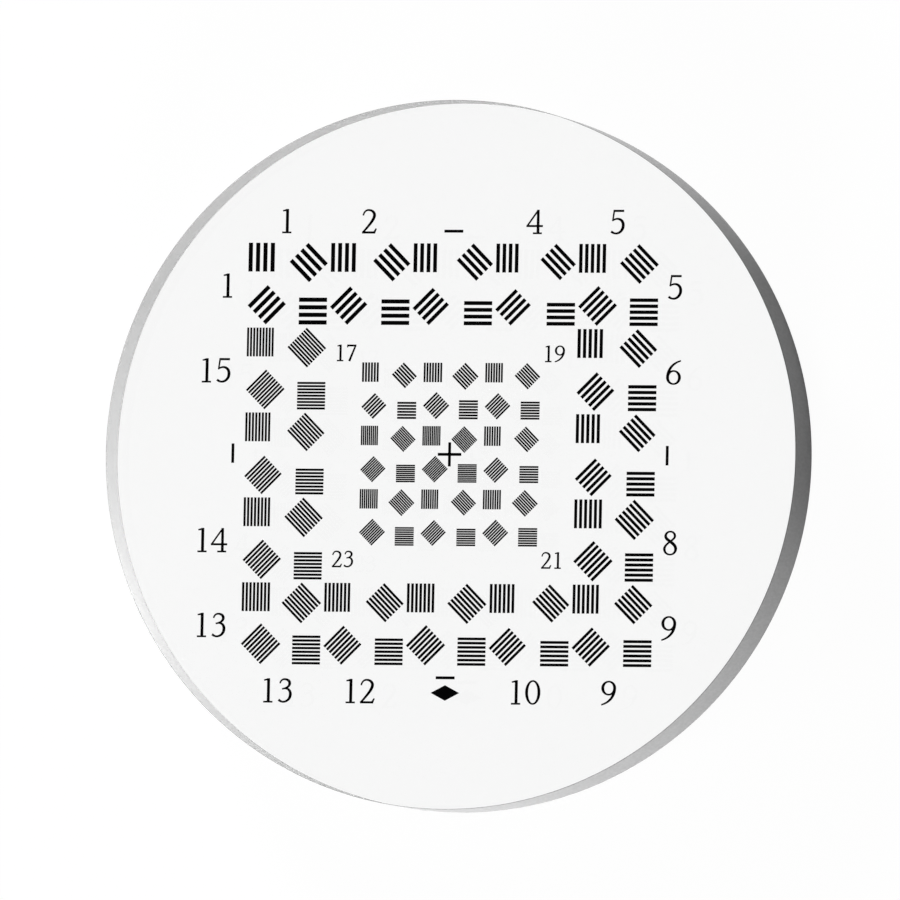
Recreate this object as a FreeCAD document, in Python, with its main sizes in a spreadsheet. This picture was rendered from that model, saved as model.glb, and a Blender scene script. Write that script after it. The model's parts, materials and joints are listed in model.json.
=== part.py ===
import FreeCAD, Part
import os
import Sketcher

# Resolution test target: a round glass blank whose front face carries a pattern of thin
# chrome lines. The pattern has 25 numbered units. Each unit is a square cell with a
# group of equal lines in each of its four corners, in four directions. Lines and gaps
# share the pitch equally, except that every line has grown by the same small amount, as
# lines of film do. From one unit to the next the pitch gets finer by the same factor.
# Units 1 to 16 run clockwise round a large square ring, units 17 to 24 round a small
# one, and unit 25 is in the middle, round a small cross.
#
# Frame, in millimetres: the origin is the centre of the blank's back face, +Z points out
# of the patterned front face, and +Y is the pattern's upright direction.

# Driving dimensions: every length is in millimetres. A line's width and length are its
# nominal ones, and line_growth is how much wider and longer it came out.
SIZES = {
    "blank_diameter": 30.0,
    "blank_thickness": 3.0,
    "edge_chamfer": 0.02,
    "film_thickness": 0.002,
    "line_growth": 0.025,
    "widest_line": 0.16,
    "units_per_halving": 12,
    "outer_line_length": 1.2,
    "outer_group_gap": 0.54,
    "outer_unit_gap": 0.16,
    "inner_line_length": 0.8,
    "inner_group_gap": 0.43,
    "inner_unit_gap": 0.32,
    "cross_length": 1.0,
    "cross_line": 0.1,
    "mark_length": 0.8,
    "mark_line": 0.1,
    "mark_gap": 0.48,
    "diamond_width": 1.25,
    "diamond_height": 0.66,
    "diamond_gap": 0.26,
}

# How many units there are along a side of each square ring of units
OUTER_SIDE_COUNT = 5
INNER_SIDE_COUNT = 3
MIDDLE_SIDE_COUNT = 1

# The blocks of units, in the order in which the units are numbered: the word that the
# block's sizes start with, and the rings that it holds
BLOCK_RINGS = {"outer": [OUTER_SIDE_COUNT], "inner": [INNER_SIDE_COUNT, MIDDLE_SIDE_COUNT]}

# The groups of a unit: name, the angle in degrees that its lines are turned by from
# upright, and the corner of the cell that the group is pushed into
GROUPS = [
    ("upright", 0, -1, 1),
    ("falling", 45, 1, 1),
    ("rising", -45, -1, -1),
    ("level", 90, 1, -1),
]

# One mark on each half of the pattern's two axes
MARK_COUNT = 4

# Keeps rounding from losing a line where a whole number of lines fits exactly
COUNT_GUARD = 0.001

Z_AXIS = FreeCAD.Vector(0, 0, 1)


def add_sheet(doc):
    """The spreadsheet of driving dimensions, with one named cell for each."""
    sheet = doc.addObject("Spreadsheet::Sheet", "Sizes")
    for row, (alias, value) in enumerate(SIZES.items(), start=1):
        sheet.set(f"A{row}", alias)
        sheet.set(f"B{row}", str(value))
        sheet.setAlias(f"B{row}", alias)
    doc.recompute()


def add_values(doc, name, values):
    """A named set of sizes that are worked out from the driving dimensions."""
    value_set = doc.addObject("App::VarSet", name)
    for alias, (kind, expression) in values.items():
        value_set.addProperty(f"App::Property{kind}", alias)
        value_set.setExpression(alias, expression)


def origin_feature(body, role):
    """One of the body's own planes or axes."""
    return next(item for item in body.Origin.OriginFeatures if item.Role == role)


def add_body(doc, name, height=None):
    """A body named after its sub-part, standing at the given height."""
    body = doc.addObject("PartDesign::Body", name)
    body.Label = name
    if height:
        body.setExpression("Placement.Base.z", height)
    return body


def add_film_body(doc, name):
    """A body of the chrome film, which lies on the front face of the blank."""
    return add_body(doc, name, "Sizes.blank_thickness")


def add_sketch(body, name, across=None, up=None, angle=0):
    """An empty sketch on the body's XY plane, moved and turned within that plane."""
    sketch = body.newObject("Sketcher::SketchObject", f"{body.Name}_{name}_sketch")
    sketch.AttachmentSupport = [(origin_feature(body, "XY_Plane"), "")]
    sketch.MapMode = "FlatFace"
    turn = FreeCAD.Rotation(Z_AXIS, angle)
    sketch.AttachmentOffset = FreeCAD.Placement(FreeCAD.Vector(), turn)
    if across:
        sketch.setExpression("AttachmentOffset.Base.x", across)
    if up:
        sketch.setExpression("AttachmentOffset.Base.y", up)
    return sketch


def bind(sketch, name, expression, *constraint):
    """Add a constraint whose value is tied to an expression."""
    index = sketch.addConstraint(Sketcher.Constraint(*constraint, 1))
    sketch.renameConstraint(index, name)
    sketch.setExpression(f"Constraints.{name}", expression)


def add_outline(sketch, corners):
    """A closed outline of straight lines, from rough corners that constraints settle."""
    points = [FreeCAD.Vector(across, up, 0) for across, up in corners]
    ends = points[1:] + points[:1]
    for start, end in zip(points, ends):
        sketch.addGeometry(Part.LineSegment(start, end))
    for line in range(len(points)):
        following = (line + 1) % len(points)
        sketch.addConstraint(Sketcher.Constraint("Coincident", line, 2, following, 1))


def add_line(sketch, width, length, reach):
    """The outline of a line of film, from its nominal size, with its growth added.

    It straddles the X axis, and its nominal left side is reach away from the Y axis.
    """
    add_outline(sketch, [(-1, -1), (1, -1), (1, 1), (-1, 1)])
    for line, direction in enumerate(("Horizontal", "Vertical", "Horizontal")):
        sketch.addConstraint(Sketcher.Constraint(direction, line))
    sketch.addConstraint(Sketcher.Constraint("Symmetric", 3, 1, 3, 2, -1))
    growth = "Sizes.line_growth"
    bind(sketch, "width", f"{width} + {growth}", "DistanceX", 0, 1, 0, 2)
    bind(sketch, "length", f"{length} + {growth}", "DistanceY", 1, 1, 1, 2)
    bind(sketch, "reach", f"{reach} + {growth} / 2", "DistanceX", 0, 1, -1, 1)


def add_pad(body, sketch, name, height="Sizes.film_thickness"):
    """Raise the sketch's outline into a solid."""
    pad = body.newObject("PartDesign::Pad", f"{body.Name}_{name}_pad")
    pad.Profile = sketch
    pad.setExpression("Length", height)
    body.Tip = pad
    return pad


def add_glass_blank(doc):
    """The glass disc, with a small chamfer on both edges of its rim."""
    body = add_body(doc, "glass_blank")
    sketch = add_sketch(body, "disc")
    sketch.addGeometry(Part.Circle())
    sketch.addConstraint(Sketcher.Constraint("Coincident", 0, 3, -1, 1))
    bind(sketch, "diameter", "Sizes.blank_diameter", "Diameter", 0)
    pad = add_pad(body, sketch, "disc", "Sizes.blank_thickness")
    doc.recompute()
    rim_edges = [
        f"Edge{index}"
        for index, edge in enumerate(pad.Shape.Edges, start=1)
        if isinstance(edge.Curve, Part.Circle)
    ]
    chamfer = body.newObject("PartDesign::Chamfer", "glass_blank_rim_chamfers")
    chamfer.Base = (pad, rim_edges)
    chamfer.setExpression("Size", "Sizes.edge_chamfer")
    body.Tip = chamfer
    return body


def add_block_values(doc, block, side_counts):
    """The side of one cell, and the step between cells, in a block of units.

    A straight group takes up a line length of its cell, and a slanting group the
    diagonal of a square of that length.
    """
    length = f"Sizes.{block}_line_length"
    add_values(doc, block, {
        "cell": ("Float", f"{length} * (1 + sqrt(2)) + Sizes.{block}_group_gap"),
        "step": ("Float", f"cell + Sizes.{block}_unit_gap"),
        "half_side": ("Float", f"({max(side_counts)} - 1) / 2 * step + cell / 2"),
    })


def ring_places(side_count):
    """The columns and rows of one square ring, clockwise from its top left corner."""
    if side_count == 1:
        return [(0, 0)]
    reach = side_count // 2
    steps = range(-reach, reach)
    top = [(step, reach) for step in steps]
    right = [(reach, -step) for step in steps]
    bottom = [(-step, -reach) for step in steps]
    left = [(-reach, step) for step in steps]
    return top + right + bottom + left


def add_line_group(body, block, name, angle, side, end):
    """Equal lines, side by side, pushed into one corner of the unit's cell."""
    unit = f"{body.Name}_lines"
    length = f"Sizes.{block}_line_length"
    cosine = f"abs(cos({angle} deg))"
    sine = f"abs(sin({angle} deg))"
    across = f"({unit}.group_width * {cosine} + {length} * {sine})"
    up = f"({unit}.group_width * {sine} + {length} * {cosine})"
    sketch = add_sketch(
        body,
        name,
        f"{side} * ({block}.cell - {across}) / 2",
        f"{end} * ({block}.cell - {up}) / 2",
        angle,
    )
    add_line(sketch, f"{unit}.line_width", length, f"{unit}.group_width / 2")
    pad = add_pad(body, sketch, name)
    pattern = body.newObject("PartDesign::LinearPattern", f"{body.Name}_{name}_group")
    pattern.Originals = [pad]
    pattern.Direction = (sketch, ["H_Axis"])
    pattern.Mode = "Spacing"
    pattern.Refine = False
    pattern.setExpression("Offset", f"2 * {unit}.line_width")
    pattern.setExpression("Occurrences", f"{unit}.line_count")
    body.Tip = pattern


def add_unit(doc, number, block, column, row):
    """One numbered unit: as many whole lines in each group as its square has room for."""
    body = add_film_body(doc, f"unit_{number:02d}")
    length = f"Sizes.{block}_line_length"
    add_values(doc, f"{body.Name}_lines", {
        "line_width": (
            "Float", f"Sizes.widest_line / 2^({number - 1} / Sizes.units_per_halving)"
        ),
        "line_count": (
            "Integer", f"floor(({length} / line_width + 1) / 2 + {COUNT_GUARD})"
        ),
        "group_width": ("Float", "(2 * line_count - 1) * line_width"),
    })
    body.setExpression("Placement.Base.x", f"{column} * {block}.step")
    body.setExpression("Placement.Base.y", f"{row} * {block}.step")
    for group in GROUPS:
        add_line_group(body, block, *group)
    return body


def add_units(doc):
    """All numbered units, block after block and ring after ring."""
    units = []
    for block, side_counts in BLOCK_RINGS.items():
        add_block_values(doc, block, side_counts)
        for side_count in side_counts:
            for column, row in ring_places(side_count):
                units.append(add_unit(doc, len(units) + 1, block, column, row))
    return units


def add_centre_cross(doc):
    """The upright cross at the middle of the pattern."""
    body = add_film_body(doc, "centre_cross")
    level = add_sketch(body, "level")
    add_line(level, "Sizes.cross_length", "Sizes.cross_line", "Sizes.cross_length / 2")
    add_pad(body, level, "level")
    upright = add_sketch(body, "upright")
    add_line(upright, "Sizes.cross_line", "Sizes.cross_length", "Sizes.cross_line / 2")
    add_pad(body, upright, "upright")
    return body


def add_axis_marks(doc):
    """Short lines across the pattern's axes, just outside the outer ring of units."""
    body = add_film_body(doc, "axis_marks")
    distance = "outer.half_side + Sizes.mark_gap + Sizes.mark_line / 2"
    sketch = add_sketch(body, "top", up=distance)
    add_line(sketch, "Sizes.mark_length", "Sizes.mark_line", "Sizes.mark_length / 2")
    pad = add_pad(body, sketch, "top")
    pattern = body.newObject("PartDesign::PolarPattern", "axis_marks_ring")
    pattern.Originals = [pad]
    pattern.Axis = (origin_feature(body, "Z_Axis"), [""])
    pattern.Occurrences = MARK_COUNT
    pattern.Refine = False
    body.Tip = pattern
    return body


def add_orientation_diamond(doc):
    """The flat diamond below the bottom mark, which shows which way is up."""
    body = add_film_body(doc, "orientation_diamond")
    mark_edge = "outer.half_side + Sizes.mark_gap + Sizes.mark_line"
    distance = f"-({mark_edge} + Sizes.diamond_gap + Sizes.diamond_height / 2)"
    sketch = add_sketch(body, "outline", up=distance)
    add_outline(sketch, [(1, 0), (0, 1), (-1, 0), (0, -1)])
    for corner, opposite, axis in ((0, 2, -1), (1, 3, -2)):
        sketch.addConstraint(Sketcher.Constraint("PointOnObject", corner, 1, axis))
        sketch.addConstraint(Sketcher.Constraint("Symmetric", corner, 1, opposite, 1, -1, 1))
    bind(sketch, "width", "Sizes.diamond_width", "DistanceX", 2, 1, 0, 1)
    bind(sketch, "height", "Sizes.diamond_height", "DistanceY", 3, 1, 1, 1)
    add_pad(body, sketch, "outline")
    return body


def check(doc, parts):
    """Stop if any object failed, or if a sub-part has no sound solid."""
    for item in doc.Objects:
        if "Invalid" in item.State or "Error" in item.State:
            raise RuntimeError(f"{item.Label} failed: {item.State}")
    for part in parts:
        if part.Shape.isNull() or not part.Shape.isValid() or not part.Shape.Solids:
            raise RuntimeError(f"{part.Label} has no valid solid")


def main():
    doc = FreeCAD.newDocument("resolution_test_target")
    add_sheet(doc)
    parts = [add_glass_blank(doc)]
    parts += add_units(doc)
    parts.append(add_centre_cross(doc))
    parts.append(add_axis_marks(doc))
    parts.append(add_orientation_diamond(doc))
    doc.recompute()
    check(doc, parts)
    os.makedirs("parts", exist_ok=True)
    for part in parts:
        part.Shape.exportStep(f"parts/{part.Label}.step")
        print(part.Label, len(part.Shape.Solids), "solids", round(part.Shape.Volume, 6))


main()
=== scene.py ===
import json
import math

import bmesh
import bpy
from mathutils import Matrix, Vector
from mathutils.geometry import delaunay_2d_cdt


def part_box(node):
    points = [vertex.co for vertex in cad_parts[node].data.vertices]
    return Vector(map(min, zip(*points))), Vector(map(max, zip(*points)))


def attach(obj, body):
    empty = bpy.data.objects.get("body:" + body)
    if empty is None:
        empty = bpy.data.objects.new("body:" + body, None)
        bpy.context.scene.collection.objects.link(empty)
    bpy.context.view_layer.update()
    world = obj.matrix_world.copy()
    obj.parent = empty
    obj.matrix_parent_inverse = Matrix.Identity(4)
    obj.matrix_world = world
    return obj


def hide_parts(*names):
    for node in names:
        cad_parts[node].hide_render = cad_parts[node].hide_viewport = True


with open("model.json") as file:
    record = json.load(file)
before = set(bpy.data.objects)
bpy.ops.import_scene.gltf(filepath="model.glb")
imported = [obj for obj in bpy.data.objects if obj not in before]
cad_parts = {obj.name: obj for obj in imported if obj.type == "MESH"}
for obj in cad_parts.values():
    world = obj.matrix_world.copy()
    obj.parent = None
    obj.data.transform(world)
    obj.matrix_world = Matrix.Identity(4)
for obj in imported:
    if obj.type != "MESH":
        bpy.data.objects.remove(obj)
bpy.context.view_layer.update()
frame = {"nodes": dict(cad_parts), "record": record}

# The looks of the resolution test target: a clear glass disc with polished faces and a
# finely ground rim, a pattern of nearly black chrome film on its front face, and plain
# numbers in the same film beside the pattern. All lengths are in metres unless a name
# says otherwise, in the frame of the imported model: the back face lies on z = 0 and +Y is
# the pattern's upright direction.

MM = 0.001

# The glass disc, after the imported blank
BLANK_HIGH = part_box("glass_blank")[1]
RIM_MOUNT = next(mount for mount in frame["record"]["mounts"] if mount["name"] == "rim")
BLANK_RADIUS = BLANK_HIGH.x
BLANK_THICKNESS = BLANK_HIGH.z
CHAMFER = (BLANK_THICKNESS - RIM_MOUNT["dims"]["length_mm"] * MM) / 2
RIM_SEGMENTS = 720
# The film's underside lies this deep in the surface, so that no air shows between them
OPTICAL_CONTACT = 0.0004 * MM

# The film. Unit 1 is at the pattern's upper left corner, so its top is the pattern's edge.
FILM_LOW, FILM_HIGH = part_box("unit_01")
PATTERN_EDGE = FILM_HIGH.y
FILM_NODES = [name for name in frame["nodes"] if name != "glass_blank"]

# The numbers beside the pattern. The pitch of their digits is a share of their height.
OUTER_DIGIT_HEIGHT = 1.02 * MM
INNER_DIGIT_HEIGHT = 0.69 * MM
DIGIT_PITCH = 0.725
# The film's strokes come out this much wider and longer, as its lines do
STROKE_GROWTH = 0.025 * MM
ROW_LABEL_GAP = 0.5 * MM
LEFT_LABEL_GAP = 0.6 * MM
RIGHT_LABEL_GAP = 0.5 * MM
INNER_LABEL_OFFSET = Vector((1.85, 1.68)) * MM
# All numbers sit a little to the left of and below their places
OUTER_LABEL_SHIFT = Vector((-0.09, -0.09)) * MM
INNER_LABEL_SHIFT = Vector((-0.035, -0.09)) * MM

# Stroke widths of the numbers, as shares of a digit's height
THIN = 0.05
MEDIUM = 0.075
STEM = 0.105
# How far a Bezier curve's inner corners reach along a quarter of an oval
ARC = 0.5523
BEZIER_STEPS = 10
MERGE_DISTANCE = 1e-5

# Materials. Where a name holds two colours or numbers, a mottle varies between them. A
# mottle's scale is in grains to the metre, and its noise is used over the middle span.
NOISE_SPAN = (0.3, 0.7)
FILM_MOTTLE = 4000
FILM_COLOURS = ((0.0011, 0.0011, 0.0012), (0.0018, 0.0018, 0.0020))
FILM_ROUGHNESS = (0.18, 0.34)
GLASS_IOR = 1.52
POLISHED_HAZE = 260
POLISHED_COLOURS = ((0.943, 0.945, 0.944), (0.947, 0.949, 0.948))
POLISHED_MIRROR_TINT = (0.35, 0.35, 0.35, 1)
GROUND_GRAIN = 9000
GROUND_GRAIN_STRETCH = (1, 1, 0.25)
GROUND_GRAIN_DEPTH = 0.002 * MM
# The ground rim seen from outside, with painted shade: a darker grey than the same rim
# through the glass, and darker still in a band along each of its edges
SHADED_OUTSIDE_COLOURS = ((0.35, 0.35, 0.352), (0.41, 0.41, 0.412))
OUTSIDE_ROUGHNESS = 0.75
OUTSIDE_SPECULAR = 0.15
# Painted shade along the rim's two edges: the width of the darker band, and the share of
# colour left at each edge
PAINTED_EDGE_BAND = 0.1 * MM
PAINTED_EDGE_SHADE = 0.6
# The ground rim seen through the glass, with painted light: a paler grey than the same rim
# from outside
LIT_INSIDE_COLOURS = ((0.58, 0.58, 0.582), (0.64, 0.64, 0.642))
INSIDE_ROUGHNESS = 0.6

# The floor. A small share of its shown white is lit, and keeps the object's shadow.
FLOOR_LIT_SHARE = 0.04
FLOOR_BOUNCE = 0.54
FLOOR_HALF_SIZE = 2.0
FLOOR_DROP = 0.01 * MM

# Light: the even light of the surroundings, and the lamps. A lamp has its azimuth and
# elevation in degrees, its distance, its side, and the brightness of a white surface
# that faces it. The glow has no side.
WORLD_LEVEL = 0.12
LAMPS = {
    "lamp_upper_left": (120, 12, 0.5, 0.12, 1.75),
    "lamp_lower": (268, 12, 0.5, 0.12, 1.25),
    "lamp_left": (207, 12, 0.5, 0.12, 0.8),
    "lamp_top": (90, 80, 0.6, 0.4, 0.15),
}
RIM_GLOW = (205, 12, 0.024, 0.65)

# The camera: the pattern is seen from its right and a little from below
CAMERA_DISTANCE = 1.0
CAMERA_TILT = math.radians(14.27)
CAMERA_TURN = math.radians(-13.0)
CAMERA_ROLL = math.radians(1.12)
IMAGE_PIXELS = 900
PIXELS_PER_METRE = 23691.0
FRONT_CENTRE_PIXEL = (449.53, 454.38)
SENSOR_WIDTH_MM = 36.0
# How far a clipping plane is from the camera's distance, as a factor
CLIP_FACTOR = 10


def oval(centre_x, centre_y, reach_x, reach_y):
    """An upright oval stroke, thick at its sides and thin at its top and bottom."""
    bend_x = reach_x * ARC
    bend_y = reach_y * ARC
    quarters = [(0, 1), (1, 0), (0, -1), (-1, 0), (0, 1)]
    points = []
    for (x, y), (next_x, next_y) in zip(quarters, quarters[1:]):
        width = STEM if x else THIN
        next_width = STEM if next_x else THIN
        points += [
            (x * reach_x, y * reach_y, width),
            (x * reach_x + next_x * bend_x, y * reach_y + next_y * bend_y, width),
            (next_x * reach_x + x * bend_x, next_y * reach_y + y * bend_y, next_width),
        ]
    points.append((0, reach_y, THIN))
    return [(centre_x + x, centre_y + y, width) for x, y, width in points]


def half_turned(strokes, width):
    """The same strokes, turned by half a turn within a box of this width."""
    return [[(width - x, 1 - y, w) for x, y, w in stroke] for stroke in strokes]


SIX = [
    oval(0.305, 0.295, 0.2525, 0.27),
    [(0.0525, 0.295, STEM), (0.0525, 0.56, STEM), (0.20, 0.87, MEDIUM), (0.60, 0.985, 0.04)],
]

# Each digit: its width, and its strokes. A stroke is a straight line between two points
# or a chain of Bezier curves, and a point is (across, up, stroke width), as shares of
# the digit's height.
DIGITS = {
    "0": (0.63, [oval(0.315, 0.5, 0.2625, 0.475)]),
    "1": (0.39, [
        [(0.215, 0.99, STEM), (0.215, 0.02, STEM)],
        [(0.03, 0.925, 0.035), (0.09, 0.935, 0.05), (0.15, 0.95, 0.06), (0.24, 0.965, 0.06)],
        [(0.01, 0.025, THIN), (0.385, 0.025, THIN)],
    ]),
    "2": (0.61, [
        [
            (0.04, 0.75, 0.045), (0.08, 0.90, THIN), (0.16, 0.97, THIN),
            (0.275, 0.967, 0.06), (0.43, 0.96, MEDIUM), (0.525, 0.86, STEM),
            (0.52, 0.745, STEM), (0.515, 0.58, STEM), (0.28, 0.31, MEDIUM),
            (0.05, 0.05, 0.06),
        ],
        [(0.01, 0.035, 0.07), (0.55, 0.035, 0.07)],
        [(0.52, 0.04, 0.08), (0.60, 0.19, 0.035)],
    ]),
    "3": (0.585, [
        [
            (0.08, 0.80, 0.045), (0.11, 0.92, THIN), (0.19, 0.97, THIN),
            (0.275, 0.967, 0.06), (0.40, 0.96, MEDIUM), (0.50, 0.90, STEM),
            (0.49, 0.78, 0.1), (0.48, 0.66, MEDIUM), (0.34, 0.585, THIN),
            (0.18, 0.565, 0.045),
        ],
        [
            (0.27, 0.585, THIN), (0.46, 0.60, 0.07), (0.545, 0.46, STEM),
            (0.525, 0.31, STEM), (0.51, 0.12, 0.09), (0.33, 0.01, 0.06),
            (0.19, 0.03, 0.06), (0.12, 0.04, 0.06), (0.08, 0.075, 0.08),
            (0.03, 0.105, 0.08),
        ],
    ]),
    "4": (0.68, [
        [(0.485, 0.99, 0.09), (0.485, 0.02, 0.1)],
        [(0.47, 0.96, THIN), (0.03, 0.335, THIN)],
        [(0.0, 0.325, 0.065), (0.68, 0.325, 0.065)],
        [(0.28, 0.025, THIN), (0.64, 0.025, THIN)],
    ]),
    "5": (0.6, [
        [(0.13, 0.965, 0.07), (0.56, 0.965, 0.07)],
        [(0.15, 0.965, THIN), (0.095, 0.56, 0.045)],
        [
            (0.08, 0.56, 0.045), (0.16, 0.615, THIN), (0.24, 0.64, 0.055),
            (0.31, 0.635, 0.065), (0.46, 0.625, 0.09), (0.55, 0.50, STEM),
            (0.54, 0.345, STEM), (0.53, 0.14, 0.1), (0.36, 0.01, 0.07),
            (0.20, 0.03, 0.06), (0.13, 0.04, 0.06), (0.09, 0.07, 0.08),
            (0.04, 0.105, 0.08),
        ],
    ]),
    "6": (0.61, SIX),
    "7": (0.56, [
        [(0.01, 0.955, 0.085), (0.555, 0.955, 0.085)],
        [(0.025, 0.97, THIN), (0.015, 0.85, 0.035)],
        [(0.52, 0.94, 0.07), (0.14, 0.01, 0.11)],
    ]),
    "8": (0.59, [
        [
            (0.30, 0.975, THIN), (0.19, 0.975, THIN), (0.10, 0.90, MEDIUM),
            (0.10, 0.78, 0.095), (0.10, 0.61, STEM), (0.53, 0.51, STEM),
            (0.535, 0.27, STEM), (0.535, 0.12, MEDIUM), (0.43, 0.025, THIN),
            (0.295, 0.025, THIN),
        ],
        [
            (0.30, 0.975, THIN), (0.41, 0.975, THIN), (0.495, 0.90, MEDIUM),
            (0.495, 0.785, 0.08), (0.495, 0.62, THIN), (0.055, 0.49, THIN),
            (0.055, 0.26, 0.09), (0.055, 0.12, MEDIUM), (0.16, 0.025, THIN),
            (0.295, 0.025, THIN),
        ],
    ]),
    "9": (0.61, half_turned(SIX, 0.61)),
}


def bezier_point(corners, share):
    """The point (across, up, width) at a share of one cubic Bezier curve."""
    rest = 1 - share
    weights = (rest**3, 3 * rest**2 * share, 3 * rest * share**2, share**3)
    return [sum(w * p[i] for w, p in zip(weights, corners)) for i in range(3)]


def stroke_line(stroke):
    """Points (across, up, width) along a stroke."""
    if len(stroke) == 2:
        return [list(point) for point in stroke]
    line = [list(stroke[0])]
    for start in range(0, len(stroke) - 1, 3):
        corners = stroke[start:start + 4]
        for step in range(1, BEZIER_STEPS + 1):
            line.append(bezier_point(corners, step / BEZIER_STEPS))
    return line


def stroke_sides(stroke, growth):
    """The left and right side of a stroke that has grown, as two lists of points."""
    line = stroke_line(stroke)
    left, right = [], []
    for index, (x, y, width) in enumerate(line):
        before = line[max(index - 1, 0)]
        after = line[min(index + 1, len(line) - 1)]
        along = Vector((after[0] - before[0], after[1] - before[1])).normalized()
        across = Vector((-along.y, along.x)) * (width + growth) / 2
        middle = Vector((x, y))
        if index == 0:
            middle -= along * growth / 2
        if index == len(line) - 1:
            middle += along * growth / 2
        left.append(middle + across)
        right.append(middle - across)
    return left, right


def union_of_strokes(strokes, growth):
    """One flat triangle mesh that covers all strokes: its points and its triangles."""
    points, quads = [], []
    for stroke in strokes:
        left, right = stroke_sides(stroke, growth)
        first = len(points)
        for a, b in zip(left, right):
            points += [a, b]
        for index in range(len(left) - 1):
            corner = first + 2 * index
            quads.append([corner, corner + 1, corner + 3, corner + 2])
    flat, _, triangles, _, _, sources = delaunay_2d_cdt(points, [], quads, 0, MERGE_DISTANCE)
    covered = [triangle for triangle, source in zip(triangles, sources) if source]
    used = sorted({index for triangle in covered for index in triangle})
    place = {index: number for number, index in enumerate(used)}
    return [flat[i] for i in used], [[place[i] for i in triangle] for triangle in covered]


def add_raised_shape(mesh, points, triangles, low, high):
    """Add a flat shape to a mesh as a closed solid between two heights."""
    top = [mesh.verts.new((x, y, high)) for x, y in points]
    bottom = [mesh.verts.new((x, y, low)) for x, y in points]
    edges = {(tri[i], tri[(i + 1) % 3]) for tri in triangles for i in range(3)}
    for a, b, c in triangles:
        mesh.faces.new((top[a], top[b], top[c]))
        mesh.faces.new((bottom[c], bottom[b], bottom[a]))
    for a, b in sorted(edges):
        if (b, a) not in edges:
            mesh.faces.new((top[b], top[a], bottom[a], bottom[b]))


def link_mesh(name, mesh, materials):
    """Turn a bmesh into an object of the scene."""
    data = bpy.data.meshes.new(name)
    mesh.to_mesh(data)
    mesh.free()
    for material in materials:
        data.materials.append(material)
    piece = bpy.data.objects.new(name, data)
    bpy.context.scene.collection.objects.link(piece)
    return piece


def label_width(text, height):
    """How wide a number is, from its first digit's left side to its last one's right."""
    first, last = DIGITS[text[0]][0], DIGITS[text[-1]][0]
    return ((len(text) - 1) * DIGIT_PITCH + (first + last) / 2) * height


def add_label(name, text, centre, height, material):
    """One number in chrome film, centred on a point of the front face."""
    mesh = bmesh.new()
    left = centre.x - label_width(text, height) / 2
    first_middle = left + DIGITS[text[0]][0] / 2 * height
    for place, digit in enumerate(text):
        width, strokes = DIGITS[digit]
        start = first_middle + (place * DIGIT_PITCH - width / 2) * height
        points, triangles = union_of_strokes(strokes, STROKE_GROWTH / height)
        placed = [(start + x * height, centre.y + (y - 0.5) * height) for x, y in points]
        add_raised_shape(mesh, placed, triangles, FILM_LOW.z, FILM_HIGH.z)
    piece = link_mesh(name, mesh, [material])
    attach(piece, "root")
    return piece


def unit_centre(number):
    """The middle of a numbered unit's cell."""
    low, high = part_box(f"unit_{number:02d}")
    return (low + high).to_2d() / 2


def add_labels(material):
    """The numbers: one beside every corner of the rings and every full row and column."""
    row_reach = PATTERN_EDGE + ROW_LABEL_GAP + OUTER_DIGIT_HEIGHT / 2
    rows = {"top": ((1, 2, 4, 5), row_reach), "bottom": ((13, 12, 10, 9), -row_reach)}
    for side, (units, up) in rows.items():
        for number in units:
            centre = Vector((unit_centre(number).x, up)) + OUTER_LABEL_SHIFT
            name = f"number_{side}_{number}"
            add_label(name, str(number), centre, OUTER_DIGIT_HEIGHT, material)
    # The left column repeats a corner's number, and its upper middle row is marked 15
    columns = {
        "left": (((1, "1"), (16, "15"), (14, "14"), (13, "13")), -1, LEFT_LABEL_GAP),
        "right": (((5, "5"), (6, "6"), (8, "8"), (9, "9")), 1, RIGHT_LABEL_GAP),
    }
    for side, (labels, way, gap) in columns.items():
        for unit, text in labels:
            half = label_width(text, OUTER_DIGIT_HEIGHT) / 2
            across = way * (PATTERN_EDGE + gap + half)
            centre = Vector((across, unit_centre(unit).y)) + OUTER_LABEL_SHIFT
            add_label(f"number_{side}_{text}", text, centre, OUTER_DIGIT_HEIGHT, material)
    for number in (17, 19, 21, 23):
        corner = unit_centre(number)
        offset = Vector((
            math.copysign(INNER_LABEL_OFFSET.x, corner.x),
            math.copysign(INNER_LABEL_OFFSET.y, corner.y),
        ))
        centre = corner + offset + INNER_LABEL_SHIFT
        add_label(f"number_inner_{number}", str(number), centre, INNER_DIGIT_HEIGHT, material)


def add_blank(polished, ground):
    """The glass disc: two flat polished faces, and a ground rim between two chamfers."""
    top = BLANK_THICKNESS + OPTICAL_CONTACT
    inner = BLANK_RADIUS - CHAMFER
    profile = [
        (inner, 0.0),
        (BLANK_RADIUS, CHAMFER),
        (BLANK_RADIUS, BLANK_THICKNESS - CHAMFER),
        (inner, top),
    ]
    mesh = bmesh.new()
    turns = [2 * math.pi * step / RIM_SEGMENTS for step in range(RIM_SEGMENTS)]
    rings = [
        [mesh.verts.new((r * math.cos(a), r * math.sin(a), z)) for a in turns]
        for r, z in profile
    ]
    mesh.faces.new(reversed(rings[0]))
    mesh.faces.new(rings[-1])
    for lower, upper in zip(rings, rings[1:]):
        for step in range(RIM_SEGMENTS):
            following = (step + 1) % RIM_SEGMENTS
            face = mesh.faces.new(
                (lower[step], lower[following], upper[following], upper[step])
            )
            face.smooth = True
            face.material_index = 1
    for ring in rings:
        for a, b in zip(ring, ring[1:] + ring[:1]):
            mesh.edges.get((a, b)).smooth = False
    piece = link_mesh("glass_disc", mesh, [polished, ground])
    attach(piece, "root")
    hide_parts("glass_blank")
    return piece


def new_material(name):
    """A material with one Principled shader: the material, its node tree and the shader."""
    material = bpy.data.materials.new(name)
    material.use_nodes = True
    tree = material.node_tree
    return material, tree, tree.nodes["Principled BSDF"]


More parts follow.
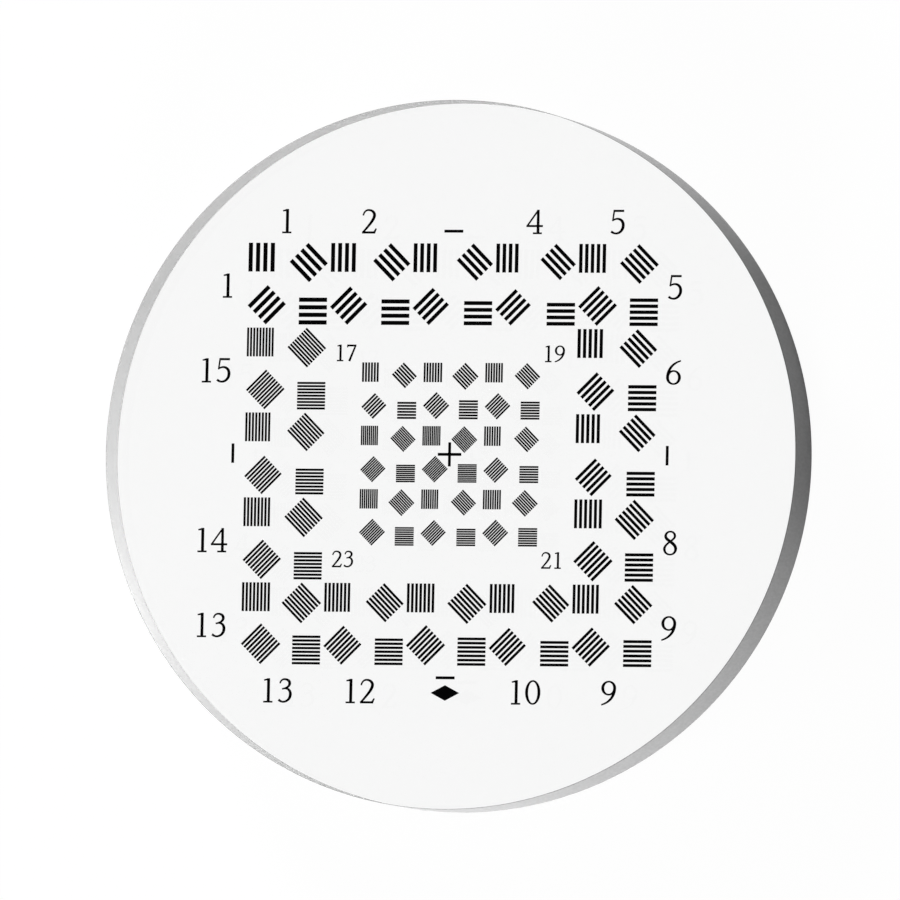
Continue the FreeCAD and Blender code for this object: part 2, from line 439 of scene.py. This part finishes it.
def add_noise(tree, scale, detail, stretch=(1, 1, 1)):
    """Noise fixed to the piece, with the given number of grains to the metre."""
    place = tree.nodes.new("ShaderNodeTexCoord")
    mapping = tree.nodes.new("ShaderNodeMapping")
    mapping.inputs["Scale"].default_value = stretch
    noise = tree.nodes.new("ShaderNodeTexNoise")
    noise.inputs["Scale"].default_value = scale
    noise.inputs["Detail"].default_value = detail
    tree.links.new(place.outputs["Object"], mapping.inputs["Vector"])
    tree.links.new(mapping.outputs["Vector"], noise.inputs["Vector"])
    return noise.outputs["Fac"]


def add_ramp(tree, noise, colours):
    """Turn noise into a colour between two."""
    ramp = tree.nodes.new("ShaderNodeValToRGB")
    for element, position, colour in zip(ramp.color_ramp.elements, NOISE_SPAN, colours):
        element.position = position
        element.color = (*colour, 1)
    tree.links.new(noise, ramp.inputs["Fac"])
    return ramp.outputs["Color"]


def add_range(tree, value, low, high):
    """Turn a value of 0 to 1 into a number between two."""
    scaled = tree.nodes.new("ShaderNodeMapRange")
    scaled.inputs["To Min"].default_value = low
    scaled.inputs["To Max"].default_value = high
    tree.links.new(value, scaled.inputs["Value"])
    return scaled.outputs["Result"]


def add_math(tree, operation, value, other=None):
    """One step of arithmetic on a value, with a number or another value."""
    step = tree.nodes.new("ShaderNodeMath")
    step.operation = operation
    tree.links.new(value, step.inputs[0])
    if isinstance(other, float):
        step.inputs[1].default_value = other
    elif other is not None:
        tree.links.new(other, step.inputs[1])
    return step.outputs["Value"]


def add_bump(tree, value, depth):
    """A bump of the given depth."""
    bump = tree.nodes.new("ShaderNodeBump")
    bump.inputs["Distance"].default_value = depth
    tree.links.new(value, bump.inputs["Height"])
    return bump.outputs["Normal"]


def make_film_material():
    """Opaque chrome film: nearly black and satin, with a faint mottle."""
    material, tree, shader = new_material("chrome_film")
    mottle = add_noise(tree, FILM_MOTTLE, 3)
    tree.links.new(add_ramp(tree, mottle, FILM_COLOURS), shader.inputs["Base Color"])
    tree.links.new(add_range(tree, mottle, *FILM_ROUGHNESS), shader.inputs["Roughness"])
    shader.inputs["Metallic"].default_value = 1.0
    return material


def make_polished_material():
    """Clear polished crown glass."""
    material, tree, shader = new_material("polished_glass")
    haze = add_noise(tree, POLISHED_HAZE, 2)
    tree.links.new(add_ramp(tree, haze, POLISHED_COLOURS), shader.inputs["Base Color"])
    shader.inputs["Roughness"].default_value = 0.0
    shader.inputs["Specular Tint"].default_value = POLISHED_MIRROR_TINT
    shader.inputs["IOR"].default_value = GLASS_IOR
    shader.inputs["Transmission Weight"].default_value = 1.0
    return material


def add_dark_edges(tree, colour):
    """Darken a colour towards the two edges of the rim: painted shade along its edges."""
    place = tree.nodes.new("ShaderNodeTexCoord")
    height = tree.nodes.new("ShaderNodeSeparateXYZ")
    tree.links.new(place.outputs["Object"], height.inputs["Vector"])
    half = BLANK_THICKNESS / 2
    from_middle = add_math(tree, "SUBTRACT", height.outputs["Z"], half)
    distance = add_math(tree, "ABSOLUTE", from_middle)
    shade = tree.nodes.new("ShaderNodeMapRange")
    shade.interpolation_type = "SMOOTHSTEP"
    shade.inputs["From Min"].default_value = half - CHAMFER - PAINTED_EDGE_BAND
    shade.inputs["From Max"].default_value = half - CHAMFER
    shade.inputs["To Min"].default_value = 1.0
    shade.inputs["To Max"].default_value = PAINTED_EDGE_SHADE
    tree.links.new(distance, shade.inputs["Value"])
    darker = tree.nodes.new("ShaderNodeVectorMath")
    darker.operation = "SCALE"
    tree.links.new(colour, darker.inputs[0])
    tree.links.new(shade.outputs["Result"], darker.inputs["Scale"])
    return darker.outputs["Vector"]


def make_ground_material():
    """Finely ground glass with a grain, in two copies: a matt grey rim from outside with
    painted shade, and a pale one through the glass with painted light.
    """
    material, tree, outside = new_material("ground_glass")
    grain = add_noise(tree, GROUND_GRAIN, 4, GROUND_GRAIN_STRETCH)
    grey = add_ramp(tree, grain, SHADED_OUTSIDE_COLOURS)
    # The outside grey gets painted shade along the rim's two edges
    tree.links.new(add_dark_edges(tree, grey), outside.inputs["Base Color"])
    tree.links.new(add_bump(tree, grain, GROUND_GRAIN_DEPTH), outside.inputs["Normal"])
    outside.inputs["Roughness"].default_value = OUTSIDE_ROUGHNESS
    outside.inputs["Specular IOR Level"].default_value = OUTSIDE_SPECULAR
    inside = tree.nodes.new("ShaderNodeBsdfPrincipled")
    pale = add_ramp(tree, grain, LIT_INSIDE_COLOURS)
    tree.links.new(pale, inside.inputs["Base Color"])
    inside.inputs["Roughness"].default_value = INSIDE_ROUGHNESS
    inside.inputs["IOR"].default_value = GLASS_IOR
    inside.inputs["Transmission Weight"].default_value = 1.0
    # Painted light and shade: the side a ray meets picks the darker outside copy or the paler
    # inside copy
    side = tree.nodes.new("ShaderNodeNewGeometry")
    mix = tree.nodes.new("ShaderNodeMixShader")
    output = tree.nodes["Material Output"]
    tree.links.new(side.outputs["Backfacing"], mix.inputs["Fac"])
    tree.links.new(outside.outputs["BSDF"], mix.inputs[1])
    tree.links.new(inside.outputs["BSDF"], mix.inputs[2])
    tree.links.new(mix.outputs["Shader"], output.inputs["Surface"])
    return material


def shown_ray(tree):
    """1 for rays that show the surroundings: to the camera, in gloss and through glass."""
    path = tree.nodes.new("ShaderNodeLightPath")
    rays = [path.outputs[f"Is {kind} Ray"] for kind in ("Camera", "Glossy", "Transmission")]
    seen = add_math(tree, "MAXIMUM", rays[0], rays[1])
    return add_math(tree, "MAXIMUM", seen, rays[2])


def add_floor():
    """A plain white floor, just below the object."""
    mesh = bmesh.new()
    corners = [(-1, -1), (1, -1), (1, 1), (-1, 1)]
    mesh.faces.new([
        mesh.verts.new((x * FLOOR_HALF_SIZE, y * FLOOR_HALF_SIZE, -FLOOR_DROP))
        for x, y in corners
    ])
    material = bpy.data.materials.new("floor_white")
    material.use_nodes = True
    tree = material.node_tree
    tree.nodes.remove(tree.nodes["Principled BSDF"])
    bounce = tree.nodes.new("ShaderNodeBsdfDiffuse")
    bounce.inputs["Color"].default_value = (FLOOR_BOUNCE, FLOOR_BOUNCE, FLOOR_BOUNCE, 1)
    lit = tree.nodes.new("ShaderNodeBsdfDiffuse")
    lit.inputs["Color"].default_value = (FLOOR_LIT_SHARE, FLOOR_LIT_SHARE, FLOOR_LIT_SHARE, 1)
    white = tree.nodes.new("ShaderNodeEmission")
    white.inputs["Strength"].default_value = 1 - FLOOR_LIT_SHARE
    shown = tree.nodes.new("ShaderNodeAddShader")
    mix = tree.nodes.new("ShaderNodeMixShader")
    output = tree.nodes["Material Output"]
    tree.links.new(white.outputs["Emission"], shown.inputs[0])
    tree.links.new(lit.outputs["BSDF"], shown.inputs[1])
    tree.links.new(shown_ray(tree), mix.inputs["Fac"])
    tree.links.new(bounce.outputs["BSDF"], mix.inputs[1])
    tree.links.new(shown.outputs["Shader"], mix.inputs[2])
    tree.links.new(mix.outputs["Shader"], output.inputs["Surface"])
    floor = link_mesh("floor", mesh, [material])


def add_world():
    """White surroundings where they show, and a dim even light from them elsewhere."""
    world = bpy.data.worlds.new("studio")
    bpy.context.scene.world = world
    world.use_nodes = True
    tree = world.node_tree
    background = tree.nodes["Background"]
    background.inputs["Color"].default_value = (1, 1, 1, 1)
    level = add_range(tree, shown_ray(tree), WORLD_LEVEL, 1.0)
    tree.links.new(level, background.inputs["Strength"])


def direction(azimuth, elevation):
    """The unit vector from the object towards an azimuth and elevation in radians."""
    aside = math.cos(elevation)
    return Vector((
        aside * math.cos(azimuth), aside * math.sin(azimuth), math.sin(elevation)
    ))


def place_lamp(name, data, azimuth, elevation, distance):
    """Aim a lamp at the object, unseen by the camera and in gloss and clear glass."""
    lamp = bpy.data.objects.new(name, data)
    bpy.context.scene.collection.objects.link(lamp)
    way = direction(math.radians(azimuth), math.radians(elevation))
    lamp.location = way * distance
    lamp.rotation_euler = way.to_track_quat("Z", "Y").to_euler()
    lamp.visible_camera = False
    lamp.visible_glossy = False
    lamp.visible_transmission = False
    return lamp


def add_lamp(name, azimuth, elevation, distance, size, level):
    """A square soft lamp. Level is how bright it makes a white surface that faces it."""
    data = bpy.data.lights.new(name, "AREA")
    data.size = size
    data.energy = level * (math.pi * distance) ** 2
    place_lamp(name, data, azimuth, elevation, distance)


def add_rim_glow(azimuth, elevation, distance, level):
    """A lamp close to the rim, whose light only glows through the ground glass.

    It has no size, so the polished faces don't mirror it.
    """
    data = bpy.data.lights.new("lamp_rim_glow", "POINT")
    data.shadow_soft_size = 0.0
    data.energy = level * (2 * math.pi * distance) ** 2
    lamp = place_lamp("lamp_rim_glow", data, azimuth, elevation, distance)
    lamp.visible_transmission = True
    lamp.visible_diffuse = False


def add_lamps():
    """The soft lamps, and the glow in the rim."""
    for name, values in LAMPS.items():
        add_lamp(name, *values)
    add_rim_glow(*RIM_GLOW)


def add_camera():
    """The camera at the photograph's angle, aimed by the pixel of the pattern's middle."""
    back = direction(CAMERA_TURN, math.pi / 2 - CAMERA_TILT)
    upright = Vector((0, 1, 0))
    up = (upright - back * upright.dot(back)).normalized()
    right = up.cross(back)
    rolled_right = right * math.cos(CAMERA_ROLL) + up * math.sin(CAMERA_ROLL)
    rolled_up = up * math.cos(CAMERA_ROLL) - right * math.sin(CAMERA_ROLL)
    data = bpy.data.cameras.new("camera")
    data.sensor_width = SENSOR_WIDTH_MM
    data.lens = PIXELS_PER_METRE * CAMERA_DISTANCE * SENSOR_WIDTH_MM / IMAGE_PIXELS
    data.clip_start = CAMERA_DISTANCE / CLIP_FACTOR
    data.clip_end = CAMERA_DISTANCE * CLIP_FACTOR
    camera = bpy.data.objects.new("camera", data)
    bpy.context.scene.collection.objects.link(camera)
    middle = IMAGE_PIXELS / 2
    aside = (middle - FRONT_CENTRE_PIXEL[0]) / PIXELS_PER_METRE
    above = (FRONT_CENTRE_PIXEL[1] - middle) / PIXELS_PER_METRE
    target = Vector((0, 0, BLANK_THICKNESS)) + rolled_right * aside + rolled_up * above
    turn = Matrix((rolled_right, rolled_up, back)).transposed()
    camera.matrix_world = Matrix.Translation(target + back * CAMERA_DISTANCE) @ turn.to_4x4()
    bpy.context.scene.camera = camera


def dress_film(material):
    """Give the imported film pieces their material."""
    for name in FILM_NODES:
        for slot in frame["nodes"][name].material_slots:
            slot.material = material


film = make_film_material()
dress_film(film)
add_labels(film)
add_blank(make_polished_material(), make_ground_material())
add_floor()
add_world()
add_lamps()
add_camera()
bpy.context.scene.view_settings.view_transform = "Standard"
